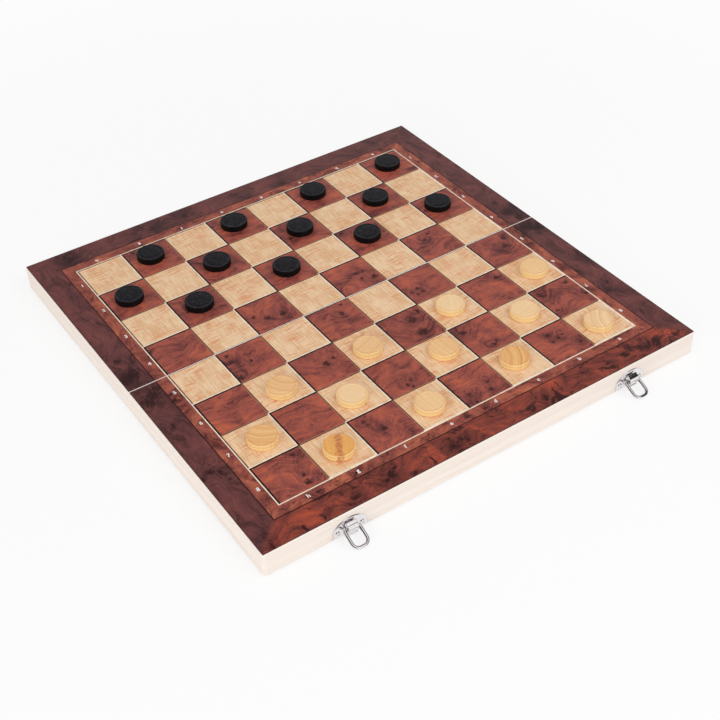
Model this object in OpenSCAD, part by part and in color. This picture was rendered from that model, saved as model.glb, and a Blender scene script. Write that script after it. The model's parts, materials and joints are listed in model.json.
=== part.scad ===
// Folding games box: two shallow wooden trays hinged along a spine. Opened flat and
// turned over, their outer faces make one draughts and chess board, as drawn here.
// The halves meet at a seam along X, the front half lies towards -Y, and Z is up.

/* [Board] */
// Width of the board along the seam
board_w = 390; // [340:1:440]
// Depth of the opened board, front to back
board_d = 390; // [340:1:440]
// Width of the printed border round the playing field
border_w = 33; // [26:0.5:38]
// Width of the inner border, which carries the row and column marks
mark_w = 10.4; // [6:0.1:14]
// Bare margin between the print and the edge of the board
print_margin = 0.9; // [0.4:0.1:2]
// Bare margin between the print and the seam
seam_margin = 0.5; // [0.2:0.1:1.5]

/* [Trays] */
// Thickness of the four walls of a tray
wall_t = 8; // [7:0.1:10]
// Height of the walls, from the rim to the panel
wall_h = 16.7; // [16:0.1:24]
// Thickness of the plywood panel
panel_t = 3; // [2:0.1:5]
// Thickness of the printed sheets
print_t = 0.3; // [0.2:0.05:0.6]
// Radius of the outer upright corners
corner_r = 3; // [1.5:0.1:5]
// Radius of the upright corners beside the seam
spine_corner_r = 1; // [0.5:0.1:2]
// Chamfer round the upper edge of the panel
panel_chamfer = 0.6; // [0.3:0.1:0.8]

/* [Hinges] */
// Distance of a butt hinge's middle from the board's side
hinge_inset = 70; // [50:1:105]
// Length of a hinge along the seam
hinge_l = 25; // [20:0.5:32]
// Width of a leaf from the hinge axis
leaf_w = 6.4; // [5.6:0.1:6.8]
// Thickness of a leaf
leaf_t = 0.9; // [0.8:0.05:1]
// Radius of the knuckles
knuckle_r = 1.2; // [1.1:0.05:1.5]
// Number of knuckles on a hinge
knuckles = 5; // [3:2:7]
// Radius of a hinge pin
hinge_pin_r = 0.55; // [0.4:0.05:0.7]

/* [Latches] */
// Distance of a latch's middle from the board's side
latch_inset = 67.5; // [45:0.5:105]
// Width of a latch plate
plate_w = 27; // [25:0.5:32]
// Height of the top of the arched plate above the rim
plate_top = 15.4; // [14:0.1:16]
// Radius of the arched outline
plate_r = 15.5; // [14:0.1:18]
// Height of the plate's flat edge above the rim
plate_foot = 0.8; // [0.4:0.1:1.2]
// Thickness of the pressed plates
plate_t = 0.8; // [0.6:0.05:0.9]
// Thickness of the sheet of a lever and of a catch's hook
sheet_t = 0.8; // [0.6:0.05:0.9]
// Width of a lever
lever_w = 8; // [7.6:0.1:8.2]
// Height of the top of a lever above the rim
lever_top = 12.4; // [11.5:0.1:14]
// Radius of the nose in which a lever's web curves in towards its plate
nose_r = 4.6; // [4:0.1:4.8]
// Radius of the pin that a lever turns on
lever_pin_r = 0.75; // [0.5:0.05:0.85]
// Width of the rolled knuckle that holds the lever's pin
roll_w = 5; // [3:0.1:5.4]
// Width of a bail between the middles of its arms
bail_w = 12; // [11.8:0.1:12.6]
// Length of a bail from its pivot to the middle of its end
bail_l = 14.6; // [13.6:0.1:15.4]
// Radius of the bail's wire
bail_r = 1.4; // [1.2:0.05:1.5]
// Radius of the bends at the bail's end
bail_bend_r = 4.6; // [3:0.1:4.8]
// Width of the hook on a catch plate
hook_w = 4; // [2.5:0.1:4.4]

/* [Screws] */
// Distance between the two screws of a latch plate
plate_screw_spacing = 20; // [19:0.1:21]
// Height of a latch plate's screws above the rim
plate_screw_z = 4.9; // [4:0.1:6]
// Radius of the round heads on the latch plates
plate_head_r = 1.8; // [1.5:0.05:2]
// Height of the round heads
plate_head_h = 1.2; // [0.8:0.1:1.6]
// Radius of the sunk heads on the hinges
leaf_head_r = 1.5; // [1.2:0.05:1.6]
// Radius of the screw shanks
screw_r = 0.8; // [0.6:0.05:0.9]
// Length of the screws in the wood
screw_l = 6; // [4:0.1:6.6]

/* [Draughts] */
// Diameter of a draught
draught_d = 23.5; // [20:0.1:30]
// Height of a draught
draught_h = 5.5; // [4:0.1:8]
// Rounding of a draught's edges
draught_round = 0.8; // [0.4:0.1:1.2]
// Distance from a draught's edge to the ring turned in its faces
ring_inset = 2.2; // [1.6:0.1:4]
// Depth of the turned ring and of the groove round the side
ring_depth = 0.25; // [0.1:0.05:0.4]
// Width of the turned ring and of the groove round the side
ring_w = 0.9; // [0.5:0.1:1.4]

/* [Clearances] */
// Gap between the two spine walls when the board lies open
seam_gap = 0.2; // [0.1:0.05:0.6]
// Drop of the hinge axis below the rims, half the gap between closed rims
hinge_drop = 0.15; // [0.1:0.05:0.3]
// Radial clearance of pins that turn
pin_fit = 0.05; // [0.03:0.01:0.1]
// Radial clearance of screws and fixed pins
fixed_fit = 0.03; // [0.02:0.01:0.1]
// Gap round a hinge leaf in its mortise and between knuckles
mortise_fit = 0.15; // [0.1:0.05:0.3]
// Gap between a lever and its plate, and between a bail and the hook that holds it
latch_gap = 0.3; // [0.25:0.05:0.35]
// Gap between the inner print and the walls
lining_gap = 0.3; // [0.2:0.1:1]
// Gap between a hanging bail and the surface that the box lies on
bail_rest_gap = 0.1; // [0.05:0.05:0.4]

/* [Hidden] */
$fn = 64;
overrun = 1;            // how far a cut runs past the face that it opens

squares = 8;            // squares along each side of the board
square_x = (board_w - 2 * border_w) / squares;
square_y = (board_d - 2 * border_w) / squares;

seam_y = seam_gap / 2;  // the spine walls' faces lie this far from the seam
panel_z = wall_h;
print_z = panel_z + panel_t;
surface_z = print_z + print_t;
rim_lift = hinge_drop + knuckle_r; // the rims float above the surface that the knuckles touch

knuckle_l = hinge_l / knuckles;
leaf_screw_x = hinge_l / 2 - knuckle_l / 2 - leaf_head_r;
leaf_screw_y = (leaf_w + knuckle_r) / 2;

// Latch, in a frame with X along the wall, Y out from its face and Z up from the rim
roll_r = lever_pin_r + plate_t;
pivot_z = plate_foot + roll_r;
pivot_y = plate_t + roll_r + 2 * latch_gap + fixed_fit;
web_y = pivot_y + roll_r + latch_gap;
ear_gap = lever_w - 2 * sheet_t;
trunnion_r = bail_r - 0.65;
eye_r = trunnion_r + sheet_t;
bail_y = plate_t + eye_r + latch_gap;
bail_z = pivot_z + lever_pin_r + trunnion_r + 3 * sheet_t;
web_z = bail_z - trunnion_r;
nose_turn = 75;         // angle through which the web curves in
nose_y = web_y + sheet_t - nose_r;
nose_z = lever_top - nose_r * sin(nose_turn);
tip_r = 0.5;

bail_drop = bail_z + rim_lift - bail_r - bail_rest_gap;
bail_angle = asin(bail_drop / bail_l);
bail_reach = bail_y + bail_l * cos(bail_angle) + bail_r;

hook_in = bail_r + latch_gap;
hook_out = hook_in + sheet_t;
hook_y = plate_t + hook_in;
hook_z = sqrt(pow(bail_l, 2) - pow(bail_y - hook_y, 2)) - bail_z - 2 * hinge_drop;
hook_lip = 1.6;         // how far the hook's lip stands past the bail's middle
hook_reach = hook_y + hook_out;

// A round cutter that leaves a groove ring_w wide and ring_depth deep
groove_r = (pow(ring_w / 2, 2) + pow(ring_depth, 2)) / (2 * ring_depth);
groove_offset = groove_r - ring_depth;

// The frame's origin is the middle of the space that the open board takes up, at the
// surface that it lies on
middle_y = (bail_reach - hook_reach) / 2;

// Square by column and row from the front left corner, then the draught's offset in it
black_places = [
    [7, 7, 0, 1.5], [5, 7, 0, 2.5], [6, 6, -1, 1.5], [7, 5, -2.5, 2],
    [3, 7, -1, 2], [4, 6, 1, 2], [5, 5, 2, 0], [1, 7, -1, 2],
    [2, 6, -1, 0.5], [3, 5, 2, 0.5], [0, 6, -1, 1], [1, 5, 1, 1]
];
light_places = [
    [7, 2, 3, -1], [5, 2, -1, 0.5], [6, 1, 1, 0.5], [7, 0, -1, -2.5],
    [4, 1, 3, 1], [5, 0, -1, 1.5], [3, 2, -2, -3.5], [2, 1, -2.5, -2],
    [3, 0, -2, -1.5], [1, 2, 0.5, -4.5], [0, 1, 2.5, -1.5], [1, 0, 0.5, -1]
];

pale_wood = "#f6e9dc";
burl = "#5e2a24";
mark_burl = "#8c4030";
dark_square = "#98462f";
light_square = "#e4c397";
black_wood = "#222226";
light_wood = "#ecc88a";
chrome = "#d4d6da";
brass = "#c9a45a";

HALVES = ["back", "front"];
SIDES = ["left", "right"];

// ---- Frames ----

// The seam frame, with its origin on the seam between the rims
module placed() {
    translate([0, middle_y, rim_lift]) children();
}

// Every piece of a half is drawn as the back half's, and the front half mirrors it
module in_half(half) {
    placed() mirror([0, half == "front" ? 1 : 0, 0]) children();
}

function side_sign(side) = side == "right" ? 1 : -1;

module at_hinge(side) {
    translate([side_sign(side) * (board_w / 2 - hinge_inset), 0, 0]) children();
}

module at_latch(side) {
    translate([side_sign(side) * (board_w / 2 - latch_inset), board_d / 2, 0]) children();
}

// An outline in Y and Z, made width wide along X about the middle
module across(width) {
    rotate([90, 0, 90]) linear_extrude(width, center = true) children();
}

// A round bar along X about the middle
module bar_x(r, width) {
    rotate([0, 90, 0]) cylinder(r = r, h = width, center = true);
}

// An outline in X and Z, made depth deep from Y = 0
module on_face(depth) {
    translate([0, depth, 0]) rotate([90, 0, 0]) linear_extrude(depth) children();
}

// ---- Trays ----

// Plan of one half, inset on every side
module half_plan(inset = 0) {
    x = board_w / 2 - inset;
    near = seam_y + inset;
    far = board_d / 2 - inset;
    far_r = corner_r - min(inset, corner_r / 2);
    near_r = spine_corner_r - min(inset, spine_corner_r / 2);
    translate([-x + far_r, far - far_r - corner_r]) square([2 * (x - far_r), far_r + corner_r]);
    translate([-x, near + near_r]) square([2 * x, far - near - far_r - near_r]);
    translate([-x + near_r, near]) square([2 * (x - near_r), near_r + corner_r]);
    for (s = [-1, 1]) {
        translate([s * (x - far_r), far - far_r]) circle(far_r);
        translate([s * (x - near_r), near + near_r]) circle(near_r);
    }
}

// One wall: the plan cut to a strip whose ends are mitred
module wall(strip) {
    color(pale_wood) linear_extrude(wall_h) intersection() {
        half_plan();
        polygon(strip);
    }
}

far_strip = [
    [-board_w / 2, board_d / 2], [board_w / 2, board_d / 2],
    [board_w / 2 - wall_t, board_d / 2 - wall_t], [-board_w / 2 + wall_t, board_d / 2 - wall_t]
];
spine_strip = [
    [-board_w / 2, seam_y], [board_w / 2, seam_y],
    [board_w / 2 - wall_t, seam_y + wall_t], [-board_w / 2 + wall_t, seam_y + wall_t]
];
side_strip = [
    [board_w / 2, seam_y], [board_w / 2, board_d / 2],
    [board_w / 2 - wall_t, board_d / 2 - wall_t], [board_w / 2 - wall_t, seam_y + wall_t]
];

// The spine wall, let in for both hinge leaves and relieved round their knuckles
module spine_wall(half) {
    in_half(half) difference() {
        wall(spine_strip);
        for (side = SIDES) at_hinge(side) {
            translate([-hinge_l / 2 - mortise_fit, -overrun, -overrun])
                cube([hinge_l + 2 * mortise_fit, leaf_w + mortise_fit + overrun, leaf_t + overrun]);
            translate([0, 0, -hinge_drop])
                bar_x(knuckle_r + mortise_fit, hinge_l + 2 * mortise_fit);
            for (s = [-1, 1]) translate([s * leaf_screw_x, leaf_screw_y, 0])
                cylinder(r = screw_r + fixed_fit, h = leaf_t + screw_l + fixed_fit);
        }
    }
}

// The wall opposite the spine, drilled for the plates' screws
module far_wall(half) {
    in_half(half) difference() {
        wall(far_strip);
        for (side = SIDES) at_latch(side) plate_screw_places()
            translate([0, -screw_l - fixed_fit, 0]) rotate([-90, 0, 0])
                cylinder(r = screw_r + fixed_fit, h = screw_l + overrun);
    }
}

module side_wall(half, side) {
    in_half(half) mirror([side == "right" ? 0 : 1, 0, 0]) wall(side_strip);
}

module panel(half) {
    color(pale_wood) in_half(half) translate([0, 0, panel_z]) hull() {
        linear_extrude(panel_t - panel_chamfer) half_plan($fn = 32);
        linear_extrude(panel_t) half_plan(panel_chamfer, $fn = 32);
    }
}

// The printed sheet of the playing surface, each field of it in its own colour
module board_print(half) {
    x = board_w / 2 - print_margin;
    near = seam_y + seam_margin;
    far = board_d / 2 - print_margin;
    field_x = board_w / 2 - border_w;
    field_y = board_d / 2 - border_w;
    in_half(half) translate([0, 0, print_z]) {
        color(burl) difference() {
            translate([-x, near, 0]) cube([2 * x, far - near, print_t]);
            translate([-field_x - mark_w, -overrun, -overrun])
                cube([2 * (field_x + mark_w), field_y + mark_w + overrun, print_t + 2 * overrun]);
        }
        color(mark_burl) difference() {
            translate([-field_x - mark_w, near, 0])
                cube([2 * (field_x + mark_w), field_y + mark_w - near, print_t]);
            translate([-field_x, -overrun, -overrun])
                cube([2 * field_x, field_y + overrun, print_t + 2 * overrun]);
        }
        for (column = [0 : squares - 1], row = [0 : squares / 2 - 1]) {
            low = max(near, row * square_y);
            is_dark = (column + row + (half == "front" ? 1 : 0)) % 2 == 0;
            color(is_dark ? dark_square : light_square)
                translate([-field_x + column * square_x, low, 0])
                    cube([square_x, (row + 1) * square_y - low, print_t]);
        }
    }
}

// The printed lining on the inner face of the panel
module inner_print(half) {
    inset = wall_t + lining_gap;
    color(light_square) in_half(half)
        translate([-board_w / 2 + inset, seam_y + inset, panel_z - print_t])
            cube([board_w - 2 * inset, board_d / 2 - seam_y - 2 * inset, print_t]);
}

// ---- Butt hinges ----

// Knuckles take turns along the pin: the even ones belong to the back leaf
module hinge_leaf(half, side) {
    own = half == "back" ? 0 : 1;
    color(brass) in_half(half) at_hinge(side) difference() {
        union() {
            translate([-hinge_l / 2, 0, 0]) cube([hinge_l, leaf_w, leaf_t]);
            for (i = [own : 2 : knuckles - 1]) knuckle(i, knuckle_r, -mortise_fit / 2);
        }
        for (i = [1 - own : 2 : knuckles - 1])
            knuckle(i, knuckle_r + mortise_fit, mortise_fit / 2);
        translate([0, 0, -hinge_drop]) bar_x(hinge_pin_r + pin_fit, hinge_l + 2 * overrun);
        for (s = [-1, 1]) translate([s * leaf_screw_x, leaf_screw_y, 0]) {
            cylinder(r1 = leaf_head_r + fixed_fit, r2 = screw_r + fixed_fit, h = leaf_t);
            translate([0, 0, -overrun]) cylinder(r = screw_r + fixed_fit, h = leaf_t + 2 * overrun);
        }
    }
}

// Knuckle i of a hinge, made longer at each end by grow; the outer ends keep their place
module knuckle(i, r, grow) {
    low = -hinge_l / 2 + i * knuckle_l - (i == 0 && grow < 0 ? 0 : grow);
    high = -hinge_l / 2 + (i + 1) * knuckle_l + (i == knuckles - 1 && grow < 0 ? 0 : grow);
    translate([(low + high) / 2, 0, -hinge_drop]) bar_x(r, high - low);
}

module hinge_pins() {
    color(brass) placed() for (side = SIDES) at_hinge(side)
        translate([0, 0, -hinge_drop]) bar_x(hinge_pin_r, hinge_l);
}

// Sunk screws, each head flush with its leaf
module hinge_screws(half) {
    color(brass) in_half(half) for (side = SIDES, s = [-1, 1]) at_hinge(side)
        translate([s * leaf_screw_x, leaf_screw_y, 0]) {
            cylinder(r1 = leaf_head_r, r2 = screw_r, h = leaf_t);
            cylinder(r = screw_r, h = leaf_t + screw_l);
        }
}

// ---- Latches ----

module plate_screw_places() {
    for (s = [-1, 1]) translate([s * plate_screw_spacing / 2, 0, plate_screw_z]) children();
}

// A pressed plate: an arch clipped at its sides, flat along the rim, its rim chamfered
module plate_blank() {
    difference() {
        intersection() {
            on_face(plate_t) intersection() {
                translate([0, plate_top - plate_r]) circle(plate_r);
                translate([-plate_w / 2, plate_foot]) square([plate_w, plate_top]);
            }
            translate([0, 0, plate_top - plate_r]) rotate([-90, 0, 0])
                cylinder(r1 = plate_r + plate_t / 2, r2 = plate_r - plate_t / 2, h = plate_t);
        }
        plate_screw_places() rotate([-90, 0, 0]) translate([0, 0, -overrun])
            cylinder(r = screw_r + 2 * fixed_fit, h = plate_t + 2 * overrun);
    }
}

// The latch plate's foot is rolled up into the knuckle that the lever's pin passes through
module latch_plate(side) {
    color(chrome) in_half("front") at_latch(side) difference() {
        union() {
            plate_blank();
            translate([0, pivot_y, pivot_z]) bar_x(roll_r, roll_w);
            translate([-roll_w / 2, plate_t / 2, pivot_z - roll_r])
                cube([roll_w, pivot_y - plate_t / 2, plate_t]);
        }
        translate([0, pivot_y, pivot_z]) bar_x(lever_pin_r + fixed_fit, roll_w + overrun);
    }
}

module latch_pins() {
    color(chrome) in_half("front") for (side = SIDES) at_latch(side)
        translate([0, pivot_y, pivot_z]) bar_x(lever_pin_r, lever_w + sheet_t / 2);
}

// Round-headed screws with a cross cut in the head
module plate_screws(half) {
    dome_r = pow(plate_head_r, 2) / plate_head_h;
    color(chrome) in_half(half) for (side = SIDES) at_latch(side) plate_screw_places()
        rotate([-90, 0, 0]) {
            translate([0, 0, -screw_l]) cylinder(r = screw_r, h = screw_l + plate_t);
            translate([0, 0, plate_t]) difference() {
                intersection() {
                    cylinder(r = plate_head_r, h = plate_head_h);
                    translate([0, 0, plate_head_h - dome_r]) sphere(dome_r);
                }
                for (turn = [0, 90]) rotate([0, 0, turn])
                    translate([-plate_head_r * 0.6, -plate_head_r / 8, plate_head_h / 2])
                        cube([plate_head_r * 1.2, plate_head_r / 4, plate_head_h]);
            }
        }
}

// One ear of the lever, round its two holes and up under the nose, in Y and Z
module ear_outline() {
    pivot_eye_r = lever_pin_r + sheet_t;
    translate([pivot_y, pivot_z]) circle(pivot_eye_r);
    translate([bail_y, bail_z]) circle(eye_r);
    polygon([
        [pivot_y + pivot_eye_r, pivot_z], [web_y + sheet_t / 2, web_z],
        [web_y + sheet_t / 2, nose_z], [bail_y, nose_z],
        [bail_y - eye_r, bail_z], [pivot_y - pivot_eye_r, pivot_z]
    ]);
    intersection() {
        translate([nose_y, nose_z]) circle(nose_r - sheet_t / 2);
        translate([bail_y, nose_z]) square(nose_r);
    }
}

// The lever's web, curved in over the plate to a rounded tip that a finger lifts, in Y and Z
module web_outline() {
    reach = 2 * nose_r;
    translate([web_y, web_z]) square([sheet_t, nose_z - web_z]);
    translate([nose_y, nose_z]) {
        difference() {
            circle(nose_r);
            circle(nose_r - sheet_t);
            polygon([
                [0, 0], reach * [cos(nose_turn), sin(nose_turn)], [-reach, reach],
                [-reach, -reach], [reach, -reach], [reach, 0]
            ]);
        }
        rotate(nose_turn) translate([nose_r - sheet_t / 2, 0]) circle(tip_r);
    }
}

// A channel of bent sheet: a web with two ears, drilled for the pin and for the bail
module lever(side) {
    color(chrome) in_half("front") at_latch(side) difference() {
        union() {
            across(lever_w) web_outline();
            for (s = [-1, 1]) translate([s * (ear_gap + sheet_t) / 2, 0, 0])
                across(sheet_t) ear_outline();
        }
        translate([0, pivot_y, pivot_z]) bar_x(lever_pin_r + pin_fit, lever_w + overrun);
        translate([0, bail_y, bail_z]) bar_x(trunnion_r + pin_fit, lever_w + overrun);
    }
}

// A wire loop with inturned ends, hanging from the lever with its end near the ground
module bail(side) {
    arm_l = bail_l - bail_bend_r;
    half_w = bail_w / 2;
    trunnion_l = half_w - ear_gap / 2 + latch_gap;
    color(chrome) in_half("front") at_latch(side) translate([0, bail_y, bail_z])
        rotate([-bail_angle, 0, 0]) {
            for (s = [-1, 1]) {
                translate([s * half_w, 0, 0]) rotate([-90, 0, 0]) cylinder(r = bail_r, h = arm_l);
                translate([s * half_w, 0, 0]) sphere(bail_r);
                translate([s * (half_w - trunnion_l / 2), 0, 0]) bar_x(trunnion_r, trunnion_l);
                translate([s * (half_w - bail_bend_r), arm_l, 0])
                    mirror([s > 0 ? 0 : 1, 0, 0]) rotate_extrude(angle = 90)
                        translate([bail_bend_r, 0]) circle(bail_r);
            }
            translate([0, bail_l, 0]) bar_x(bail_r, bail_w - 2 * bail_bend_r);
        }
}

// The catch plate's hook: the outer half of a roll, with a straight lip past the bail
module catch_plate(side) {
    color(chrome) in_half("back") at_latch(side) union() {
        plate_blank();
        across(hook_w) {
            intersection() {
                difference() {
                    translate([hook_y, hook_z]) circle(hook_out);
                    translate([hook_y, hook_z]) circle(hook_in);
                }
                translate([plate_t / 2, hook_z - hook_out]) square([hook_y + hook_out, hook_out]);
            }
            translate([hook_y + hook_in, hook_z]) square([sheet_t, hook_lip]);
        }
    }
}

// ---- Draughts ----

// Half of a draught's section: rounded edges, a ring turned in each face, a grooved side
module draught_section() {
    r = draught_d / 2;
    difference() {
        union() {
            square([r - draught_round, draught_h]);
            translate([0, draught_round]) square([r, draught_h - 2 * draught_round]);
            for (z = [draught_round, draught_h - draught_round])
                translate([r - draught_round, z]) circle(draught_round);
        }
        for (z = [-groove_offset, draught_h + groove_offset])
            translate([r - ring_inset - ring_w / 2, z]) circle(groove_r);
        translate([r + groove_offset, draught_h / 2]) circle(groove_r);
    }
}

module draught(places, i, colour) {
    place = places[i - 1];
    color(colour) placed() translate([
        -board_w / 2 + border_w + (place[0] + 0.5) * square_x + place[2],
        -board_d / 2 + border_w + (place[1] + 0.5) * square_y + place[3],
        surface_z
    ]) rotate_extrude() draught_section();
}

for (half = HALVES) {
    spine_wall(half);
    panel(half);
    board_print(half);
    inner_print(half);
    hinge_screws(half);
    for (side = SIDES) {
        side_wall(half, side);
        hinge_leaf(half, side);
    }
}
for (side = SIDES) {
    latch_plate(side);
    catch_plate(side);
    lever(side);
    bail(side);
}
far_wall("back");  // back_far_wall
far_wall("front");  // front_latch_wall
hinge_pins();
plate_screws("front");  // latch_screws
plate_screws("back");  // catch_screws
latch_pins();
for (i = [1:len(black_places)])
    draught(black_places, i, black_wood);
for (i = [1:len(light_places)])
    draught(light_places, i, light_wood);
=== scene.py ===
"""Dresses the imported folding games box: printed board, pale trays, latches and draughts.

The board lies open with its playing face up. X runs along the seam, the front half lies
towards -Y, and every shape and pattern is worked out in metres in the box's own frame.
"""

import json
import math

import bmesh
import bpy
import numpy as np
from mathutils import Matrix, Vector

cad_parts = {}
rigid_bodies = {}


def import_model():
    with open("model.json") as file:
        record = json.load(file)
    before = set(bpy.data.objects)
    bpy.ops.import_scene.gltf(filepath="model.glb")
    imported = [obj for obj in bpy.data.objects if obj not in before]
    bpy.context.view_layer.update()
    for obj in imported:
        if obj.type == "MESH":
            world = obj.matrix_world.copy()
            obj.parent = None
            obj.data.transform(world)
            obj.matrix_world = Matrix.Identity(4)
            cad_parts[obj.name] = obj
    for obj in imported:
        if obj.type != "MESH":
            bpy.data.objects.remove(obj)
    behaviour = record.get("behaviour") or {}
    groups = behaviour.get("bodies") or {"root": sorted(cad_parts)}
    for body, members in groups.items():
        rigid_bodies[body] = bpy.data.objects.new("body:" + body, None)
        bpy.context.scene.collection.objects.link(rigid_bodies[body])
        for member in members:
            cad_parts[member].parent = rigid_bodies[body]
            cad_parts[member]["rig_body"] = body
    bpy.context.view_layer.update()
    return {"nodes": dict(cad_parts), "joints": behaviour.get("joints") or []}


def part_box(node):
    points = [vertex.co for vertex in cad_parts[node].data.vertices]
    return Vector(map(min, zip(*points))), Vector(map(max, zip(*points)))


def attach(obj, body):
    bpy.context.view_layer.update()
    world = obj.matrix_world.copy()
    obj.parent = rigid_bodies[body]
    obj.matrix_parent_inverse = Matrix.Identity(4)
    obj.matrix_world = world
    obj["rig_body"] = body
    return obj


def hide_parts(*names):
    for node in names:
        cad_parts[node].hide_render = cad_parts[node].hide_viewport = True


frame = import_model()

bl_info = {
    "name": "Folding games box",
    "version": (1, 0, 0),
    "blender": (4, 5, 0),
    "location": "3D View > Sidebar > Games box",
    "description": "Makes the printed board, trays, latches and draughts of a folding games box",
    "category": "Object",
}

MM = 0.001
SQUARES = 8
HALVES = ("back", "front")
SIDES = ("left", "right")

# The board's own middle and reach, from the panels and the printed sheets
SEAM_Y = (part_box("back_board_print")[0].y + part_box("front_board_print")[1].y) / 2
HALF_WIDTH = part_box("back_panel")[1].x
HALF_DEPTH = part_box("back_panel")[1].y - SEAM_Y
PRINT_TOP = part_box("back_board_print")[1].z

# How far the printed figure moves from one square to the next, in millimetres
SQUARE_SHIFT = (61.7, 23.9, 7.3)

# Shares of a mark's type size: what its strokes gain in width, and the height of its middle
MARK_WEIGHT = 0.035
MARK_MIDDLE = 0.36

# Eyes of the printed burl: X and Y from the middle of the board and radius, in millimetres
EYES = [
    (-65, 15, 4), (-52, 13, 4), (-73, 22, 3), (24, 22, 2.6), (31, 22, 2), (25, 14, 2.4),
    (35, 10, 4.5), (99, 27, 3), (106, 33, 2.6), (-115, -7, 2.8), (-115, -14, 3.4),
    (-98, -14, 2), (-102, -23, 2), (-118, -35, 4), (-8, -5, 2.4), (-14, -16, 2.4),
    (47, -26, 2.2), (54, -24, 2.6), (50, -31, 2.2), (55, -30, 2), (149, -20, 5),
    (155, -10, 3), (-57, -59, 4.5), (-49, -56, 2.6), (26, -55, 5), (25, -72, 6.5),
    (36, -48, 3.4), (115, -50, 3.4), (-21, -115, 2.6), (-16, -112, 2.2), (-19, -119, 2),
    (60, -115, 3), (64, -113, 2), (49, -91, 4), (129, -91, 3.6), (156, -88, 3.6),
    (127, -112, 3), (160, -108, 3), (-134, -148, 2.6), (-130, -127, 3), (-135, -156, 4),
    (-62, -143, 3.6), (-71, -129, 2.6), (29, -146, 2.2), (26, -155, 2.4), (9, -160, 2.4),
    (10, -150, 2), (105, -139, 2.4), (100, -132, 2), (110, -137, 2), (116, -152, 3),
    (98, -140, 1.8), (46, 77, 3), (-112, 158, 3), (-112, 60, 3), (7, 97, 4),
    (-186, 37, 4.5), (-184, 16, 9), (-190, 12, 7), (-181, -14, 9), (-187, -20, 8),
    (-176, -8, 6), (-186, -108, 3), (-179, -112, 3), (-192, -113, 3), (-177, -122, 2.4),
    (182, 36, 4), (181, 18, 8), (186, 6, 6), (181, -10, 8), (188, -16, 7), (183, -108, 3),
    (178, -115, 2.6), (-117, -186, 4), (-112, -179, 3), (-101, -167, 3), (-84, -183, 5),
    (-79, -180, 3), (-90, -187, 3), (-25, -183, 3), (-20, -187, 2.4), (10, -169, 2.4),
    (53, -184, 3), (132, -183, 5), (140, -180, 6), (147, -184, 5), (52, -187, 2.4),
    (-134, -168, 3), (-131, -169, 2), (-103, -168, 2.4), (170, -18, 3), (169, -30, 3),
    (-171, -20, 3), (-170, -28, 3), (-50, 182, 5), (-160, 180, 5), (-82, 181, 5),
]

# Each light draught's warmth, strength of figure, and where its heart lies: turn in degrees and
# distance in millimetres. One also has a streak, square to the direction below.
LIGHT_DRAUGHTS = [
    (0.35, 0.2, 112, 60), (0.1, 0.2, 151, 80), (0.15, 0.2, 100, 70), (0.1, 0.5, -29, 32),
    (0.4, 0.5, 4, 60), (0.65, 0.9, 151, 26), (0.3, 0.6, 112, 50), (0.15, 0.15, 70, 50),
    (0.3, 0.3, 4, 70), (0.4, 0.7, 40, 18), (0.55, 0.7, 52, 30), (0.9, 0.3, 151, 40),
]
STREAKED_DRAUGHT = 12
STREAK_NORMAL = (0.88, -0.48, 0)

# What reflections see of the sky: the direction of each white panel, and the cosines of the
# angles from it at which its glow starts and is full
PANELS = [
    ((0, 0, -1), -0.28, -0.02),
    ((0.1, -0.4, 0.91), 0.87, 0.91),
    ((0.1, -0.94, 0.33), 0.92, 0.96),
    ((0.6, 0.6, -0.53), 0.2, 0.8),
]

# Where the soft lamps stand, in metres, and how wide they are
KEY_PLACE = (0.5, -1.0, 1.3)
FILL_PLACE = (-1.9, -1.1, 0.8)
LAMP_WIDTH = 1.2

# Fields of the printed sheet, in the order of its materials
BORDER, INK, BAND, CREAM, DARK, LIGHT, PINK, BROWN = range(8)


def linear(red, green, blue):
    """The linear colour of an 8-bit screen colour."""
    shares = (channel / 255 for channel in (red, green, blue))
    return tuple(s / 12.92 if s <= 0.04045 else ((s + 0.055) / 1.055) ** 2.4 for s in shares)


def number(name, description, value, **kind):
    """A number setting."""
    return bpy.props.FloatProperty(name=name, description=description, default=value, **kind)


def size(name, description, millimetres):
    """A length setting."""
    return number(name, description, millimetres * MM, min=0, unit="LENGTH",
                  subtype="DISTANCE", precision=5)


def angle(name, description, degrees):
    """An angle setting."""
    return number(name, description, math.radians(degrees), subtype="ANGLE")


def shade(name, description, *screen):
    """A colour setting, given as an 8-bit screen colour."""
    return bpy.props.FloatVectorProperty(
        name=name, description=description, default=linear(*screen), size=3, min=0, max=1,
        subtype="COLOR",
    )


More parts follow.
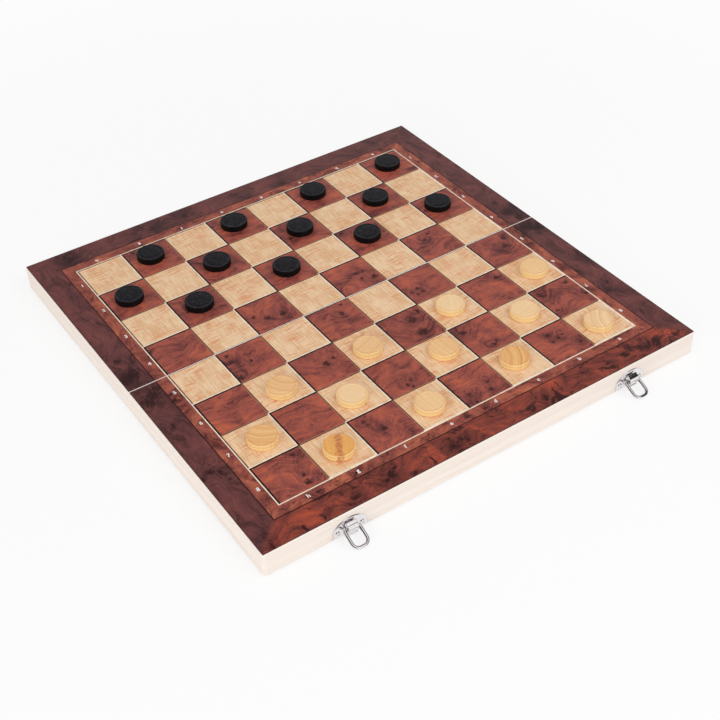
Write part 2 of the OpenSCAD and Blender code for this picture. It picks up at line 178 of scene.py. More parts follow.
class PrintSettings(bpy.types.PropertyGroup):
    """Sizes and colours of the printed playing surface."""

    border: size("Border", "Width from the board's edge to the squares", 33)
    mark_line: size("Mark line", "From the board's edge to the line round the marks", 22.3)
    thin_line: size("Thin line", "Width of the dark line round the marks", 0.8)
    edge_line: size("Edge line", "Width of the dark line along the print's edge", 0.3)
    cream_line: size("Cream line", "Width of the light line round the squares", 0.9)
    light_line: size("Light line", "Width of the lit edges printed on a light square", 1.0)
    dark_line: size("Dark line", "Width of the shadow edges printed on a dark square", 1.35)
    pink_line: size("Pink line", "Width of the lit edges printed on a dark square", 0.55)
    brown_line: size("Brown line", "Width of the shadow edges printed on a light square", 1.0)
    mesh_step: size("Mesh step", "Longest side of a face of the printed sheet", 1.6)
    mark_height: size("Mark size", "Type size of the row and column marks", 4.9)
    mark_place: size("Mark place", "From the board's edge to the middle of the marks", 28.4)
    mark_raise: size("Mark thickness", "Thickness of the ink of the marks", 0.03)
    burl_deep: shade("Burl, deep", "Darkest tone of the dark squares", 86, 40, 44)
    burl_body: shade("Burl, body", "Middle tone of the dark squares", 158, 80, 68)
    burl_glow: shade("Burl, glow", "Warmest tone of the dark squares", 200, 100, 70)
    eye: shade("Eyes", "Colour of the burl's eyes", 50, 20, 20)
    border_deep: shade("Border, deep", "Darkest tone of the outer border", 56, 28, 32)
    border_body: shade("Border, body", "Middle tone of the outer border", 106, 59, 58)
    border_glow: shade("Border, glow", "Warmest tone of the outer border", 132, 72, 66)
    front_deep: shade("Front, deep", "Darkest tone of the border's front strip", 62, 24, 24)
    front_body: shade("Front, body", "Middle tone of the border's front strip", 130, 60, 50)
    front_glow: shade("Front, glow", "Warmest tone of the border's front strip", 182, 78, 52)
    band_deep: shade("Band, deep", "Darkest tone of the band with the marks", 88, 40, 38)
    band_body: shade("Band, body", "Middle tone of the band with the marks", 156, 80, 66)
    band_glow: shade("Band, glow", "Warmest tone of the band with the marks", 200, 112, 78)
    maple_pale: shade("Maple, pale", "Lightest tone of the light squares", 246, 212, 173)
    maple_body: shade("Maple, body", "Middle tone of the light squares", 230, 183, 138)
    maple_streak: shade("Maple, streak", "Tone of the streaks in the light squares", 226, 148, 100)
    cream: shade("Cream", "Colour of the light lines", 255, 238, 214)
    pink: shade("Pink", "Colour of the dusty pink lines", 186, 120, 104)
    brown: shade("Brown", "Colour of the brown lines", 112, 78, 54)
    ink: shade("Ink", "Colour of the dark lines", 38, 16, 16)
    mark: shade("Marks", "Colour of the row and column marks", 250, 242, 240)


class CaseSettings(bpy.types.PropertyGroup):
    """Colours of the trays and of their lining."""

    wood: shade("Wood", "Middle tone of the bare wood", 243, 230, 220)
    wood_pale: shade("Wood, pale", "Lightest tone of the bare wood", 247, 236, 227)
    wood_grain: shade("Grain", "Tone of the grain lines", 232, 212, 194)
    ply: shade("Ply", "Tone of the darker plies of the panels", 226, 200, 172)
    point_light: shade("Light points", "Colour of the light points of the lining", 224, 190, 142)
    point_dark: shade("Dark points", "Colour of the dark points of the lining", 120, 52, 40)
    lining: shade("Lining", "Ground colour of the lining", 176, 104, 62)
    lining_grain: shade("Lining, grain", "Tone of the grain lines of the lining", 63, 39, 25)
    point_length: size("Point length", "Length of a point of the lining", 148)


class DraughtSettings(bpy.types.PropertyGroup):
    """Form and colours of the turned draughts."""

    rounding: size("Rounding", "Radius of a draught's edges", 0.8)
    groove: size("Groove", "Depth of the groove round a draught's side", 0.22)
    groove_reach: size("Groove reach", "Half the width of the groove", 0.8)
    ring_inset: size("Ring inset", "From a draught's edge to the ring turned in its face", 2.6)
    ring_reach: size("Ring reach", "Half the width of the ring turned in the faces", 0.7)
    ring_depth: size("Ring depth", "Depth of the ring turned in the faces", 0.18)
    segments: bpy.props.IntProperty(
        name="Segments", description="Faces round a draught", default=96, min=24, max=256,
    )
    black: shade("Black", "Colour of the stained faces", 21, 21, 27)
    black_worn: shade("Black, worn", "Colour where the stain is thin", 72, 71, 78)
    # Painted shade: the sides of the black draughts are given a darker black than their faces
    black_side_shade: shade("Black side", "Colour of the stained sides", 5, 7, 9)
    pale: shade("Pale", "Lightest tone of the plain faces", 252, 221, 176)
    honey: shade("Honey", "Deepest tone of the plain faces", 240, 176, 92)
    # Painted light: the plain sides are given a brighter colour than the faces
    side: shade("Side", "Colour of the plain sides", 255, 222, 156)
    ring: shade("Year rings", "Tone of the year rings", 218, 140, 72)
    stain: shade("Stain", "Tone of the streak across one draught", 188, 96, 62)


class MetalSettings(bpy.types.PropertyGroup):
    """Colours and fineness of the fittings."""

    bright: shade("Plate", "Colour of the bright plated steel", 238, 234, 235)
    brass: shade("Brass", "Colour of the hinges", 206, 170, 98)
    wire_radius: size("Wire", "Radius of a bail's wire", 1.4)
    trunnion_radius: size("Trunnion", "Radius of the inturned ends of a bail", 0.75)
    trunnion_reach: size("Trunnion reach", "How far an inturned end goes into the lever", 0.8)
    bend: size("Bend", "Radius of the two bends at a bail's end", 4.6)
    corner: size("Corner", "Radius of the bends where a bail's arms turn in", 1.3)
    edge: size("Edge", "Width of the rounded edges of pressed parts", 0.1)


class StageSettings(bpy.types.PropertyGroup):
    """Camera, light and floor."""

    lens: number("Lens", "Focal length of the camera in millimetres", 63.57)
    azimuth: angle("Azimuth", "Turn of the camera round the box", 32.853)
    elevation: angle("Elevation", "Height of the camera over the horizon", 40.597)
    roll: angle("Roll", "Turn of the camera about its own view", -2.034)
    distance: size("Distance", "From the camera to the point that it looks at", 967.1)
    aim_x: number("Aim X", "Point of the playing face in the picture's middle", -34.1 * MM,
                  unit="LENGTH")
    aim_y: number("Aim Y", "The same point, from the seam", -70.6 * MM, unit="LENGTH")
    sky: number("Sky", "Strength of the even light from all sides", 0.65)
    ceiling: number("Ceiling", "Brightness of the room overhead in reflections", 0.03)
    key: number("Key lamp", "Power of the soft lamp over the front in watts", 7)
    fill: number("Fill lamp", "Power of the soft lamp beside the camera in watts", 15)
    floor: shade("Floor", "Colour of the floor", 250, 250, 250)
    floor_lift: number("Floor lift", "Share of plain white seen in the floor under the box", 0.75)
    shadow_reach: size("Shadow reach", "Distance to which the floor shows the shadow", 250)
    white_reach: size("White reach", "Distance from which the floor is plain white", 1100)
    floor_reach: size("Floor reach", "From the middle of the floor to its edges", 6000)


class Nodes:
    """A node tree being made: each method adds one node and returns its output."""

    def __init__(self, tree):
        self.tree = tree

    def add(self, kind, sockets, output=0, **settings):
        """A node of that kind; a socket is given a value or another node's output."""
        node = self.tree.nodes.new("ShaderNode" + kind)
        for key, value in settings.items():
            setattr(node, key, value)
        for key, value in sockets.items():
            if isinstance(value, bpy.types.NodeSocket):
                self.tree.links.new(value, node.inputs[key])
            else:
                node.inputs[key].default_value = value
        return node.outputs[output]

    def math(self, operation, a, b=0.0, c=0.0):
        """One number from up to three."""
        return self.add("Math", {0: a, 1: b, 2: c}, operation=operation)

    def vector(self, operation, a, b=(0, 0, 0), c=(0, 0, 0)):
        """One vector from up to three."""
        return self.add("VectorMath", {0: a, 1: b, 2: c}, operation=operation)

    def weighted(self, *shares):
        """The sum of some values, each times its weight."""
        total = 0.0
        for value, weight in shares:
            total = self.math("MULTIPLY_ADD", value, weight, total)
        return total

    def smooth(self, value, low, high, least=0.0, most=1.0):
        """Least below low, most above high and a smooth step between them."""
        return self.add("MapRange", {
            "Value": value, "From Min": low, "From Max": high, "To Min": least, "To Max": most,
        }, interpolation_type="SMOOTHSTEP")

    def length(self, vector):
        """How long the vector is."""
        return self.add("VectorMath", {0: vector}, "Value", operation="LENGTH")

    def rays(self, *kinds):
        """1 for rays of any of those kinds and 0 for the rest."""
        path = self.add("LightPath", {}).node
        seen = path.outputs[kinds[0]]
        for kind in kinds[1:]:
            seen = self.math("MAXIMUM", seen, path.outputs[kind])
        return seen


class Finish(Nodes):
    """A material being made, with the board's own measures and patterns."""

    def __init__(self, name, **sockets):
        self.material = bpy.data.materials.new(name)
        self.material.use_nodes = True
        super().__init__(self.material.node_tree)
        self.shader = self.tree.nodes["Principled BSDF"]
        for socket, value in sockets.items():
            self.shader.inputs[socket.replace("_", " ")].default_value = value

    def feed(self, socket, value):
        """Gives one of the shader's sockets a value that varies over the surface."""
        self.tree.links.new(value, self.shader.inputs[socket])

    def board_point(self):
        """The place on the board in millimetres, from the middle of its seam."""
        place = self.add("TexCoord", {}, "Object")
        return self.vector("MULTIPLY_ADD", place, (1000,) * 3, (0, -SEAM_Y / MM, 0))

    def parts(self, vector):
        """The vector's X, Y and Z."""
        x = self.add("SeparateXYZ", {0: vector})
        return [x.node.outputs[i] for i in range(3)]

    def attribute(self, name, output="Fac"):
        """A value that the mesh carries."""
        return self.add("Attribute", {}, output, attribute_name=name)

    def noise(self, at, scale, detail=4.0, roughness=0.5, distortion=0.0, output=0):
        """Cloudy noise with that many features to the millimetre."""
        return self.add("TexNoise", {
            "Vector": at, "Scale": scale, "Detail": detail, "Roughness": roughness,
            "Distortion": distortion,
        }, output)

    def grain(self, at, stretch, detail=4.0, roughness=0.6):
        """Noise with that many features to the millimetre along each axis."""
        return self.noise(self.vector("MULTIPLY", at, stretch), 1.0, detail, roughness)

    def warp(self, at, scale, reach):
        """The point pushed about by noise, up to half of reach each way."""
        push = self.noise(at, scale, detail=2.0, output="Color")
        push = self.vector("SUBTRACT", push, (0.5,) * 3)
        return self.vector("MULTIPLY_ADD", push, (reach,) * 3, at)

    def mix(self, share, a, b):
        """Two colours mixed, with that share of the second."""
        a, b = (c if isinstance(c, bpy.types.NodeSocket) else (*c, 1) for c in (a, b))
        return self.add("Mix", {0: share, 6: a, 7: b}, 2, data_type="RGBA")

    def ramp(self, value, *stops):
        """Colours along a value, from pairs of place and colour."""
        colour = self.add("ValToRGB", {0: value})
        band = colour.node.color_ramp
        while len(band.elements) < len(stops):
            band.elements.new(1.0)
        for element, (place, tone) in zip(band.elements, stops):
            element.position = place
            element.color = (*tone, 1)
        return colour

    def bump(self, height, depth):
        """Relief of that depth in metres where height goes from 0 to 1."""
        self.feed("Normal", self.add("Bump", {"Height": height, "Distance": depth, "Strength": 1.0}))

    def paint(self, colour):
        """Gives the surface its colour and returns the material."""
        self.feed("Base Color", colour)
        return self.material


def printed(name):
    """A finish with the satin gloss of the printed sheet."""
    return Finish(name, Roughness=0.4, Specular_IOR_Level=0.35)


def plain_ink(name, colour):
    """One colour of ink, slightly uneven like the sheet round it."""
    finish = printed(name)
    clouds = finish.noise(finish.board_point(), 0.35)
    darker = tuple(c * 0.8 for c in colour)
    return finish.paint(finish.mix(finish.smooth(clouds, 0.35, 0.65), darker, colour))


def burl_colour(finish, at, ink, part, figure_width=1.0, mottle=0.0):
    """Burl in one part's tones: clouds of colour, streaks that bend round the eyes, pores, and
    eyes that break up into many dark specks. A wider figure has larger swirls, and mottle adds
    dark patches."""
    deep, body, glow = (getattr(ink, part + tone) for tone in ("_deep", "_body", "_glow"))
    swirl = finish.attribute("swirl")
    curled = finish.warp(at, 0.032 / figure_width, reach=32.0 * figure_width)
    x, y, _ = finish.parts(curled)
    lift = finish.math("MULTIPLY_ADD", swirl, 14.0, y)
    streaks_at = finish.add("CombineXYZ", {0: finish.math("MULTIPLY", x, 0.15), 1: lift})
    streaks = finish.noise(streaks_at, 0.32, detail=5.0, roughness=0.62)
    clouds = finish.noise(curled, 0.06 / figure_width, detail=3.0, roughness=0.55, distortion=0.6)
    pores = finish.noise(at, 0.6, roughness=0.75)
    tone = finish.weighted((clouds, 0.40), (streaks, 0.38), (pores, 0.22), (swirl, -0.06))
    colour = finish.ramp(tone, (0.37, deep), (0.50, body), (0.63, glow))
    if mottle:
        patches = finish.noise(curled, 0.11 / figure_width, detail=6.0, roughness=0.66)
        colour = finish.mix(finish.smooth(patches, 0.54, 0.64, most=mottle), colour, ink.eye)
    ragged = finish.noise(at, 0.5, detail=5.0, roughness=0.7)
    core = finish.math("MULTIPLY_ADD", ragged, 2.6, -1.3)
    core = finish.math("ADD", finish.attribute("eyes"), core)
    return finish.mix(finish.smooth(core, 0.38, 0.9, most=0.9), colour, ink.eye)


def shifted_point(finish):
    """The place on the board, moved for each square, so that no two are printed alike."""
    return finish.vector("ADD", finish.board_point(), finish.attribute("shift", "Vector"))


def burl_squares(ink):
    """The dark squares."""
    finish = printed("dark squares")
    return finish.paint(burl_colour(finish, shifted_point(finish), ink, "burl"))


def maple_squares(ink):
    """The light squares: short wavy streaks along X over fine ribs along Y."""
    finish = printed("light squares")
    at = shifted_point(finish)
    streaks = finish.grain(finish.warp(at, 0.08, reach=5.0), (0.06, 0.8, 0), roughness=0.62)
    where = finish.smooth(finish.noise(at, 0.06, detail=2.0), 0.36, 0.6)
    strength = finish.math("MULTIPLY", finish.smooth(streaks, 0.48, 0.64), where)
    ribs = finish.grain(finish.warp(at, 0.12, reach=2.0), (0.8, 0.06, 0), detail=3.0)
    tone = finish.weighted((ribs, 0.6), (finish.noise(at, 0.07, detail=3.0), 0.4))
    ground = finish.ramp(tone, (0.42, ink.maple_body), (0.57, ink.maple_pale))
    return finish.paint(finish.mix(strength, ground, ink.maple_streak))


def along_border(finish, at):
    """The point turned so that X runs along each strip of the border, and 1 in the front strip."""
    x, y, _ = finish.parts(at)
    across = finish.math("GREATER_THAN", finish.math("ABSOLUTE", x), finish.math("ABSOLUTE", y))
    turned = finish.add("CombineXYZ", {0: y, 1: x})
    share = finish.add("Mix", {0: across, 4: at, 5: turned}, 1, data_type="VECTOR")
    beyond = finish.math("SUBTRACT", finish.math("MULTIPLY", y, -1.0), finish.math("ABSOLUTE", x))
    return share, finish.smooth(beyond, -5.0, 5.0)


def burl_border(ink):
    """The outer border: dark burl, redder in the front strip, mitred at the corners."""
    finish = printed("outer border")
    at, front = along_border(finish, finish.board_point())
    dark = burl_colour(finish, at, ink, "border", figure_width=1.3, mottle=0.45)
    red = burl_colour(finish, at, ink, "front", figure_width=1.1, mottle=0.9)
    return finish.paint(finish.mix(front, dark, red))


def burl_band(ink):
    """The band that carries the marks: red-brown burl, mottled with orange."""
    finish = printed("mark band")
    at, _ = along_border(finish, finish.board_point())
    return finish.paint(burl_colour(finish, at, ink, "band", figure_width=0.9, mottle=0.6))


def bare_wood(name, case, along):
    """Planed pale wood with long faint grain along one axis, 0 for X and 1 for Y."""
    finish = Finish(name, Roughness=0.62, Specular_IOR_Level=0.3)
    at = finish.warp(finish.board_point(), 0.02, reach=5.0)
    stretch = [0.9, 0.9, 0.9]
    stretch[along] = 0.012
    grain = finish.grain(at, stretch)
    wide = finish.grain(at, [s * 0.2 for s in stretch], detail=2.0, roughness=0.5)
    ground = finish.mix(finish.smooth(wide, 0.35, 0.65), case.wood, case.wood_pale)
    finish.bump(grain, 0.04 * MM)
    return finish.paint(finish.mix(finish.smooth(grain, 0.52, 0.74, most=0.55), ground,
                                   case.wood_grain))


def plywood(case):
    """The panels: pale faces, and edges with thin plies in turn."""
    finish = Finish("plywood", Roughness=0.6, Specular_IOR_Level=0.3)
    at = finish.warp(finish.board_point(), 0.03, reach=1.0)
    _, _, z = finish.parts(at)
    grain = finish.grain(at, (0.02, 0.9, 2.5))
    plies = finish.math("SINE", finish.math("MULTIPLY", z, 2.1))
    lines = finish.weighted((finish.smooth(plies, 0.2, 0.9), 0.28),
                            (finish.smooth(grain, 0.5, 0.75), 0.3))
    finish.bump(grain, 0.03 * MM)
    return finish.paint(finish.mix(lines, case.wood_pale, case.ply))


def lining(case, inner):
    """Backgammon points: a tapering point from each side wall, six to each end of a half."""
    finish = printed("lining " + inner)
    x, y, _ = finish.parts(finish.board_point())
    low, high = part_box(inner + "_inner_print")
    rows = (high.y - low.y) / MM / 6
    along = finish.math("DIVIDE", finish.math("SUBTRACT", y, (low.y - SEAM_Y) / MM), rows)
    from_middle = finish.math("ABSOLUTE", finish.math("SUBTRACT", finish.math("FRACT", along), 0.5))
    reach = finish.math("SUBTRACT", high.x / MM, finish.math("ABSOLUTE", x))
    taper = finish.math("DIVIDE", reach, case.point_length / MM)
    width = finish.math("MULTIPLY_ADD", taper, -0.46, 0.46)
    point = finish.math("LESS_THAN", from_middle, width)
    outline = finish.math("LESS_THAN", from_middle, finish.math("ADD", width, 0.03))
    odd = finish.math("FLOORED_MODULO", finish.math("FLOOR", along), 2.0)
    side = finish.math("GREATER_THAN", x, 0.0)
    turn = finish.math("ABSOLUTE", finish.math("SUBTRACT", odd, side))
    grain = finish.grain(finish.warp(finish.board_point(), 0.05, reach=6.0), (0.04, 0.5, 0))
    colour = finish.mix(outline, case.lining, tuple(c * 0.25 for c in case.point_dark))
    colour = finish.mix(point, colour, finish.mix(turn, case.point_dark, case.point_light))
    shadow = finish.smooth(grain, 0.35, 0.75, most=0.3)
    return finish.paint(finish.mix(shadow, colour, case.lining_grain))


def draught_point(finish, draughts, node):
    """The place on a draught in millimetres from the middle of its foot, 1 on its side, and 1 in
    a narrow ring round its face."""
    place = finish.vector("SUBTRACT", finish.board_point(), finish.attribute("middle", "Vector"))
    out = finish.length(finish.vector("MULTIPLY", place, (1, 1, 0)))
    low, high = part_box(node)
    radius = (high.x - low.x) / 2 / MM
    edge = draughts.rounding / MM
    side = finish.smooth(out, radius - edge, radius - 0.3 * edge)
    rim = finish.math("SUBTRACT", finish.smooth(out, radius - 2.4 * edge, radius - 1.2 * edge), side)
    return place, side, rim


def stained_wood(draughts):
    """Matt black stain, thinner along the grain, with the sides painted darker as shade."""
    finish = Finish("black stain", Roughness=0.5, Specular_IOR_Level=0.2)
    place, side, rim = draught_point(finish, draughts, "black_draught_1")
    at = finish.vector("ADD", place, finish.attribute("heart", "Vector"))
    grain = finish.grain(at, (0.3, 1.3, 0.4), roughness=0.65)
    specks = finish.noise(at, 0.45, roughness=0.7)
    thin = finish.weighted((finish.smooth(grain, 0.46, 0.72), 0.45),
                           (finish.smooth(specks, 0.56, 0.7), 0.6), (rim, 0.3))
    finish.bump(grain, 0.05 * MM)
    face = finish.mix(thin, draughts.black, draughts.black_worn)
    # Painted shade: the sides are mixed towards a darker black than the faces
    return finish.paint(finish.mix(side, face, draughts.black_side_shade))


def natural_wood(draughts):
    """Plain turned wood: year rings about a heart that each draught has elsewhere, sides painted
    brighter as light, and on one draught a red streak through the middle."""
    finish = Finish("plain wood", Roughness=0.42, Specular_IOR_Level=0.4)
    place, side, rim = draught_point(finish, draughts, "light_draught_1")
    at = finish.vector("SUBTRACT", place, finish.attribute("heart", "Vector"))
    at = finish.warp(at, 0.12, reach=2.4)
    out = finish.length(finish.vector("MULTIPLY", at, (1, 1, 0.25)))
    rings_at = finish.add("CombineXYZ", {0: out})
    lines = finish.noise(rings_at, 0.6, detail=1.0)
    broad = finish.noise(rings_at, 0.24, detail=1.0)
    fine = finish.noise(at, 0.5, roughness=0.7)
    tone = finish.math("MULTIPLY_ADD", fine, 0.5, finish.math("ADD", finish.attribute("tone"), -0.2))
    face = finish.mix(tone, draughts.pale, draughts.honey)
    # Painted light: the sides are mixed towards a brighter colour than the faces
    face = finish.mix(finish.math("MULTIPLY", side, 0.8), face, draughts.side)
    rings = finish.weighted((finish.smooth(lines, 0.42, 0.74), 0.7),
                            (finish.smooth(broad, 0.38, 0.62), 0.35))
    rings = finish.math("MULTIPLY", rings, finish.attribute("figure"))
    rings = finish.math("MULTIPLY", rings, finish.math("MULTIPLY_ADD", side, -0.6, 1.0))
    rings = finish.math("MULTIPLY_ADD", rim, 0.3, rings)
    wood = finish.mix(rings, face, draughts.ring)
    across = finish.vector("DOT_PRODUCT", finish.warp(place, 0.3, reach=7.0), STREAK_NORMAL)
    apart = finish.math("ABSOLUTE", across.node.outputs["Value"])
    streak = finish.math("SUBTRACT", 1.0, finish.smooth(apart, 0.6, 3.6))
    ragged = finish.smooth(finish.noise(place, 0.6, roughness=0.7), 0.36, 0.6)
    streak = finish.math("MULTIPLY", streak, finish.math("MULTIPLY_ADD", ragged, 0.6, 0.25))
    streak = finish.math("MULTIPLY", streak, finish.attribute("streak"))
    finish.bump(lines, 0.03 * MM)
    return finish.paint(finish.mix(streak, wood, draughts.stain))


def plated(name, colour, roughness):
    """Plated metal, slightly clouded and brushed."""
    finish = Finish(name, Roughness=roughness, Metallic=1.0)
    at = finish.board_point()
    clouds = finish.noise(at, 0.5)
    finish.feed("Roughness", finish.add("MapRange", {
        "Value": clouds, "To Min": roughness * 0.8, "To Max": roughness * 1.3,
    }))
    scratches = finish.grain(at, (0.6, 6.0, 6.0), detail=3.0, roughness=0.5)
    finish.bump(scratches, 0.004 * MM)
    darker = tuple(c * 0.92 for c in colour)
    return finish.paint(finish.mix(finish.smooth(clouds, 0.35, 0.6), darker, colour))


def show(name, data):
    """A new object in the scene, at its origin."""
    shown = bpy.data.objects.new(name, data)
    bpy.context.scene.collection.objects.link(shown)
    return shown


def shade_round(mesh, sharp):
    """Smooth shading, with the edges that turn by more than sharp degrees left crisp."""
    mesh.shade_smooth()
    mesh.set_sharp_from_angle(angle=math.radians(sharp))


def place_piece(name, mesh, body, stands_for=()):
    """A piece of that mesh, riding on a body in some CAD nodes' place."""
    piece = show(name, mesh)
    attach(piece, body)
    if stands_for:
        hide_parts(*stands_for)
    return piece


def put_mesh(name, points, faces, materials, body, stands_for=(), sharp=None):
    """A new piece from its points and faces, shaded round where sharp is given."""
    mesh = bpy.data.meshes.new(name)
    mesh.from_pydata(np.asarray(points).tolist(), [], faces)
    for material in materials:
        mesh.materials.append(material)
    if sharp is not None:
        shade_round(mesh, sharp)
    return place_piece(name, mesh, body, stands_for)


def merged(mesh, gap):
    """A work copy of a mesh, in which points nearer to each other than gap are one."""
    work = bmesh.new()
    work.from_mesh(mesh)
    bmesh.ops.remove_doubles(work, verts=work.verts, dist=gap)
    return work


def coat(mesh, material):
    """Gives the whole mesh one material in place of what it had."""
    mesh.materials.clear()
    mesh.materials.append(material)


def steps(edges, longest):
    """Every edge, and even steps between them no longer than longest."""
    edges = np.unique(np.round(edges, 7))
    counts = np.maximum(1, np.ceil(np.diff(edges) / longest - 1e-6).astype(int))
    pieces = [np.linspace(a, b, n, endpoint=False) for a, b, n in zip(edges, edges[1:], counts)]
    return np.append(np.concatenate(pieces), edges[-1])


def grid_faces(columns, rows, closed=False):
    """Quads between rows of points, numbered row by row. Closed rows run back to their start."""
    here = np.arange(columns if closed else columns - 1)
    following = (here + 1) % columns
    start = (np.arange(rows - 1) * columns)[:, None]
    quads = np.stack([start + here, start + following, start + following + columns,
                      start + here + columns], -1)
    return quads.reshape(-1, 4)


def print_fields(x, y, ink):
    """The field at each place and the number of its square. Distances are taken from the
    nearest board edge and, in the squares, from the square's own left, right, back and front."""
    inset = np.minimum(HALF_WIDTH - np.abs(x), HALF_DEPTH - np.abs(y))
    field = np.full(x.shape, BORDER)
    edge = HALF_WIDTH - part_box("back_board_print")[1].x + ink.edge_line
    field[inset < edge] = INK
    field[inset > ink.mark_line] = INK
    field[inset > ink.mark_line + ink.thin_line] = BAND
    field[inset > ink.border - ink.cream_line] = CREAM
    width, depth = square_side(HALF_WIDTH, ink), square_side(HALF_DEPTH, ink)
    column, left = np.divmod(x + HALF_WIDTH - ink.border, width)
    row, front = np.divmod(y + HALF_DEPTH - ink.border, depth)
    right, back = width - left, depth - front
    inside = inset > ink.border
    dark = inside & ((column + row) % 2 == 0)
    light = inside & ~dark
    field[dark] = DARK
    field[dark & (np.minimum(right, front) < ink.pink_line)] = PINK
    field[dark & (np.minimum(left, back) < ink.dark_line)] = INK
    field[light] = LIGHT
    field[light & (np.minimum(left, back) < ink.brown_line)] = BROWN
    field[light & (np.minimum(right, front) < ink.light_line)] = CREAM
    return field, column + SQUARES * row


def square_side(half, ink):
    """Length of a square along the axis on which the board reaches half to each side."""
    return 2 * (half - ink.border) / SQUARES


def print_edges(reach, half, ink):
    """Every place along one side of the board where the print changes colour."""
    lines = half - ink.border - square_side(half, ink) * np.arange(SQUARES + 1)
    widths = np.array([0, ink.dark_line, ink.pink_line, ink.brown_line, ink.light_line])
    inner = (lines[:, None] + np.append(widths, -widths)).ravel()
    margin = half - reach
    frame_lines = np.array([margin, margin + ink.edge_line, ink.mark_line,
                            ink.mark_line + ink.thin_line, ink.border - ink.cream_line])
    frame_lines = np.concatenate([half - frame_lines, frame_lines - half])
    return np.concatenate([inner, frame_lines])


def eye_values(x, y):
    """How far each point lies in an eye, and how much the eye bends the streaks there: both
    fall from 1 as a bell curve of the distance over the eye's radius times a width."""
    centre_x, centre_y, radius = np.array(EYES).T * MM
    far = (x[:, None] - centre_x) ** 2 + (y[:, None] - centre_y) ** 2
    eye_width, swirl_width = 0.9, 2.6
    return [np.exp(-far / (width * radius) ** 2).max(1) for width in (eye_width, swirl_width)]


def set_values(mesh, name, kind, domain, values):
    """Stores a value for each point or face on the mesh."""
    attribute = mesh.attributes.new(name, kind, domain)
    field = "vector" if kind == "FLOAT_VECTOR" else "value"
    attribute.data.foreach_set(field, np.asarray(values, np.float32).ravel())


def board_print(half, ink, materials):
    """A printed sheet: a grid of points over the half at the sheet's top, with a row of points
    on every line of the print, closed by four sides and a bottom."""
    low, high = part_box(half + "_board_print")
    xs = print_edges(high.x, HALF_WIDTH, ink)
    ys = print_edges(HALF_DEPTH - (HALF_WIDTH - high.x), HALF_DEPTH, ink) + SEAM_Y
    xs = steps(np.append(xs[np.abs(xs) < high.x], [low.x, high.x]), ink.mesh_step)
    ys = steps(np.append(ys[(ys > low.y) & (ys < high.y)], [low.y, high.y]), ink.mesh_step)
    x, y = (a.ravel() for a in np.meshgrid(xs, ys))
    top = np.stack([x, y, np.full(x.shape, high.z)], 1)
    bottom = [(low.x, low.y, low.z), (high.x, low.y, low.z), (high.x, high.y, low.z),
              (low.x, high.y, low.z)]
    quads = grid_faces(len(xs), len(ys))
    middle = top[quads].mean(1)
    field, square = print_fields(middle[:, 0], middle[:, 1] - SEAM_Y, ink)
    count, last = len(x), len(xs)
    a, b, c, d = range(count, count + 4)
    front = list(range(0, last))
    right = list(range(last - 1, count, last))
    back = list(range(count - last, count))
    left = list(range(0, count, last))
    sides = [[a, b] + front[::-1], [b, c] + right[::-1], [c, d] + back, [d, a] + left,
             [a, d, c, b]]
    mesh = put_mesh(
        half + "_playing_surface", np.concatenate([top, bottom]), quads.tolist() + sides,
        materials, half + "_half", [half + "_board_print"],
    ).data
    field = np.append(field, [INK] * len(sides)).astype(np.int32)
    mesh.polygons.foreach_set("material_index", field)
    for name, values in zip(("eyes", "swirl"), eye_values(x, y - SEAM_Y)):
        set_values(mesh, name, "FLOAT", "POINT", np.append(values, [0] * len(bottom)))
    shift = np.append(square, [0] * len(sides))[:, None] * SQUARE_SHIFT
    shift[field < DARK] = 0
    set_values(mesh, "shift", "FLOAT_VECTOR", "FACE", shift)
    mesh.update()


class BoardPrintOperator(bpy.types.Operator):
    """Makes the printed sheets of both halves"""

    bl_idname = "games_box.board_print"
    bl_label = "Printed board"

    def execute(self, context):
        ink = context.scene.games_box_print
        # In the order of the fields
        materials = [
            burl_border(ink), plain_ink("ink", ink.ink), burl_band(ink),
            plain_ink("cream", ink.cream), burl_squares(ink), maple_squares(ink),
            plain_ink("pink", ink.pink), plain_ink("brown", ink.brown),
        ]
        for half in HALVES:
            board_print(half, ink, materials)
        return {"FINISHED"}


def mark_mesh(text, ink):
    """Points and faces of one mark, centred on the origin and standing on Z = 0."""
    curve = bpy.data.curves.new("mark", "FONT")
    curve.body = text
    curve.size = ink.mark_height
    curve.align_x = "CENTER"
    curve.extrude = ink.mark_raise / 2
    curve.offset = ink.mark_height * MARK_WEIGHT
    curve.resolution_u = 5
    carrier = show("mark", curve)
    shown = carrier.evaluated_get(bpy.context.evaluated_depsgraph_get())
    mesh = bpy.data.meshes.new_from_object(shown)
    bpy.data.objects.remove(carrier)
    work = merged(mesh, gap=1e-7)
    points = np.array([v.co for v in work.verts])
    faces = [[v.index for v in f.verts] for f in work.faces]
    work.free()
    bpy.data.meshes.remove(mesh)
    bpy.data.curves.remove(curve)
    points[:, 1] -= ink.mark_height * MARK_MIDDLE
    return points, faces


def mark_places(ink):
    """Every mark's text, its place on the board and its turn: numbers from the back, letters
    from the right, upright for whoever sits at the front or, on the far sides, at the back."""
    width, depth = square_side(HALF_WIDTH, ink), square_side(HALF_DEPTH, ink)
    side = HALF_WIDTH - ink.mark_place
    end = HALF_DEPTH - ink.mark_place
    for i in range(SQUARES):
        x = HALF_WIDTH - ink.border - (i + 0.5) * width
        y = HALF_DEPTH - ink.border - (i + 0.5) * depth
        yield str(i + 1), -side, y, 1
        yield str(i + 1), side, y, -1
        yield "abcdefgh"[i], x, -end, 1
        yield "abcdefgh"[i], x, end, -1


